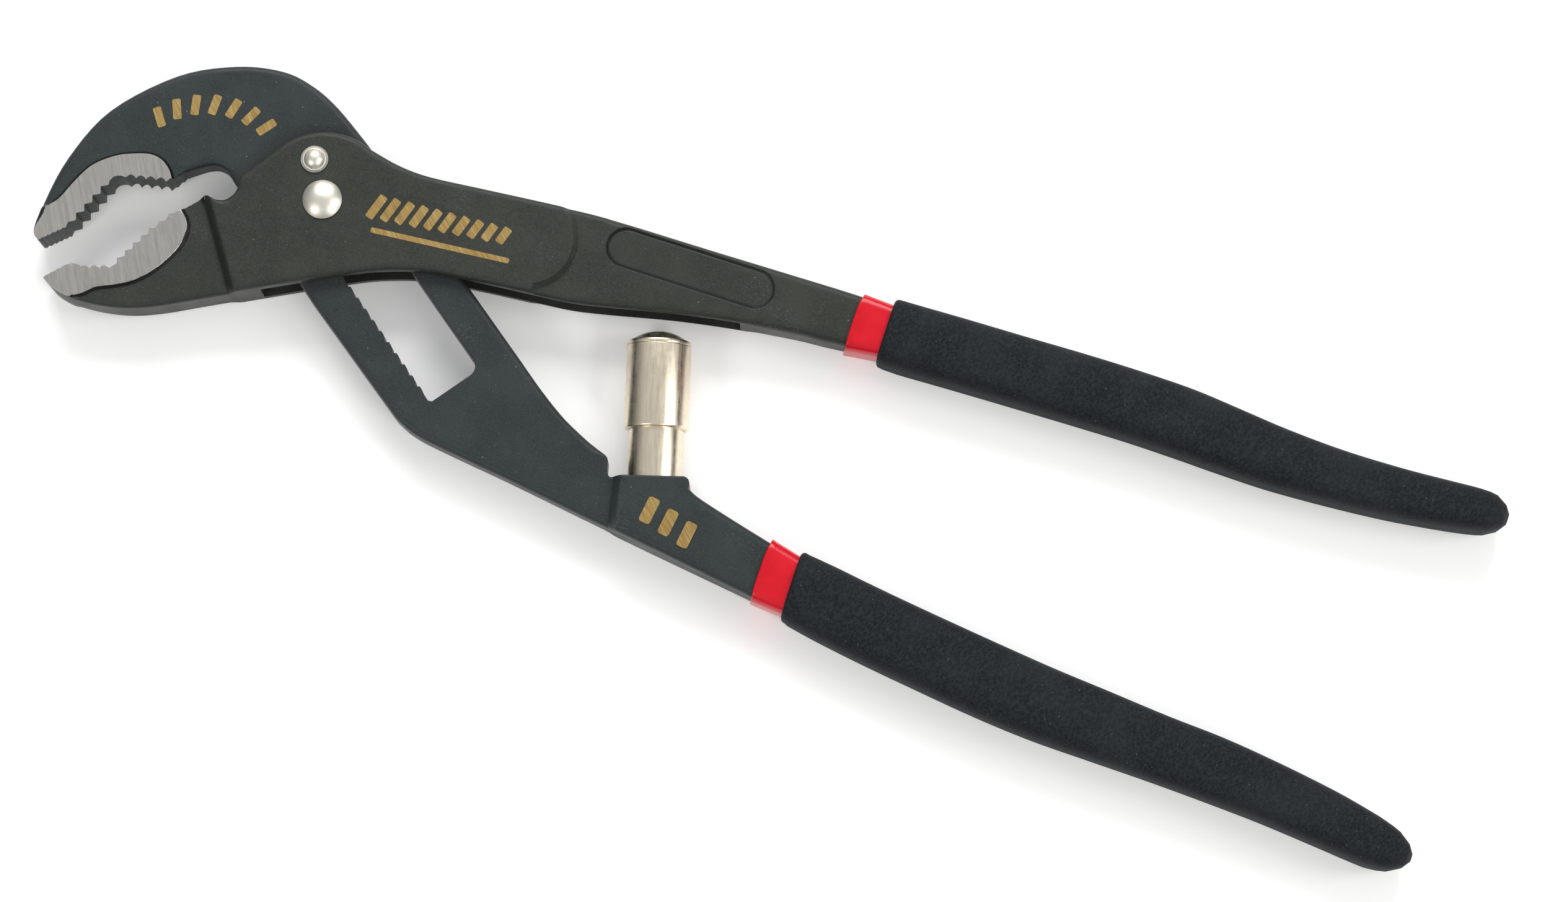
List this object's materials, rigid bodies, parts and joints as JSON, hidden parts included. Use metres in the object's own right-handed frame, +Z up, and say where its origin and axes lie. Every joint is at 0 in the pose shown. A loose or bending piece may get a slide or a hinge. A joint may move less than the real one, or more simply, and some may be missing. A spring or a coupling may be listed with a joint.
{
  "type": "tongue and groove pliers",
  "caption": "Self-adjusting tongue and groove pliers with an offset toothed jaw, a slotted sliding arm, a spring post between the handles and dipped two-layer grips.",
  "frame": {"origin": "centre of the underside of the whole tool as it lies on its side, jaws slightly open", "axes": "+X from the jaws to the ends of the handles, +Y towards the upper handle, +Z up through the thickness, parallel to the pivot"},
  "size_m": [0.3, 0.0857, 0.0155],
  "materials": {
    "body_enamel": "satin",
    "arm_enamel": "satin",
    "rivet_steel": "satin",
    "tool_steel": "satin",
    "spring_steel": "gloss",
    "post_nickel": "polished",
    "ground_steel": "ground, straight grain",
    "gold_print": "worn satin print",
    "red_vinyl": "gloss",
    "black_grip": "matt, finely grained"
  },
  "bodies": {
    "pivot": {"pivot_rivet": "rivet_steel"},
    "body": {"body_lever": "body_enamel", "stop_rivet": "rivet_steel", "stop_washer": "rivet_steel", "upper_sleeve": "red_vinyl", "upper_grip": "black_grip"},
    "guide": {"guide_block": "tool_steel"},
    "pawl": {"pawl": "tool_steel", "pawl_spring": "spring_steel"},
    "arm": {"arm_lever": "arm_enamel", "lower_sleeve": "red_vinyl", "lower_grip": "black_grip", "post_tube": "post_nickel", "spring_seat": "tool_steel", "post_stop_ring": "spring_steel", "post_spring": "spring_steel"},
    "plunger": {"post_sleeve": "post_nickel", "post_cap": "post_nickel"}
  },
  "joints": [
    {"name": "handle_open", "type": "hinge", "parent": "pivot", "child": "body", "pos_m": [-0.0961, 0.0197, 0.0068], "axis": [0, 0, 1], "range_deg": [0, 30]},
    {"name": "handle_squeeze", "type": "hinge", "parent": "pivot", "child": "guide", "pos_m": [-0.0961, 0.0197, 0.0068], "axis": [0, 0, 1], "range_deg": [0, 7]},
    {"name": "arm_slide", "type": "slide", "parent": "guide", "child": "arm", "axis": [-0.7976, 0.6032, 0], "range_m": [0, 0.0358]},
    {"name": "pawl_lock", "type": "slide", "parent": "guide", "child": "pawl", "axis": [-0.6032, -0.7976, 0], "range_m": [0, 0.00075], "deforming": ["pawl_spring"]},
    {"name": "post_press", "type": "slide", "parent": "arm", "child": "plunger", "axis": [0.279, -0.9603, 0], "range_m": [0, 0.0061], "deforming": ["post_spring"]}
  ],
  "couplings": [
    {"joint": "arm_slide", "follows": "handle_open", "m_per_rad": 0.06828},
    {"joint": "pawl_lock", "follows": "handle_squeeze", "m_per_rad": 0.00613},
    {"joint": "post_press", "follows": "handle_squeeze", "m_per_rad": 0.0491}
  ]
}
